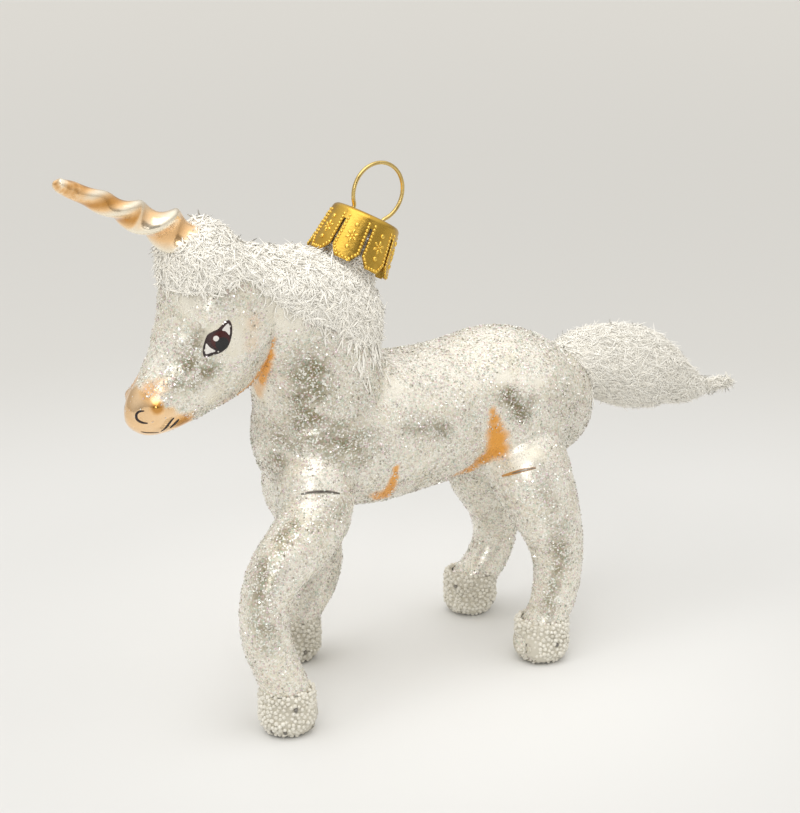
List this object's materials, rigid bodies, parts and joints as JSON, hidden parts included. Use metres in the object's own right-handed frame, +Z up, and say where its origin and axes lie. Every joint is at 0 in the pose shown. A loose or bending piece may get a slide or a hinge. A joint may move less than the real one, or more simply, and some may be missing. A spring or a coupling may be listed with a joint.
{
  "type": "unicorn ornament",
  "caption": "Standing unicorn foal in blown glass with a twisted horn, glued fibre mane and tail, beaded hooves, and a gold crown cap whose wire ring hangs it as an ornament.",
  "frame": {"origin": "on the floor, below the middle of the overall box", "axes": "+X towards the tail with the nose towards -X, +Y towards the figure's right side, +Z up"},
  "size_m": [0.1489, 0.0374, 0.1015],
  "materials": {
    "pearl_glass": "silvered glass under satin pearl lacquer with iridescent glitter",
    "horn_glass": "glossy peach-gold lustre",
    "fibre": "shredded glossy white fibre",
    "beads": "glued cream micro-beads",
    "cap_metal": "bright stamped sheet",
    "wire": "bright drawn wire"
  },
  "bodies": {
    "figurine": {"body_shell": "pearl_glass", "horn": "horn_glass", "front_left_leg": "pearl_glass", "front_right_leg": "pearl_glass", "hind_left_leg": "pearl_glass", "hind_right_leg": "pearl_glass", "tail_core": "pearl_glass", "mane_fibre": "fibre", "tail_fibre": "fibre", "front_left_hoof_beads": "beads", "front_right_hoof_beads": "beads", "hind_left_hoof_beads": "beads", "hind_right_hoof_beads": "beads"},
    "cap": {"crown_cap": "cap_metal"},
    "hanger": {"hanger_clip": "wire"}
  },
  "joints": [
    {"name": "cap_turn", "type": "hinge", "parent": "figurine", "child": "cap", "pos_m": [-0.01339, 0, 0.0863], "axis": [0.5, 0, 0.866], "continuous": true},
    {"name": "hanger_pull", "type": "slide", "parent": "cap", "child": "hanger", "axis": [0.5, 0, 0.866], "range_m": [0, 0.014]}
  ]
}
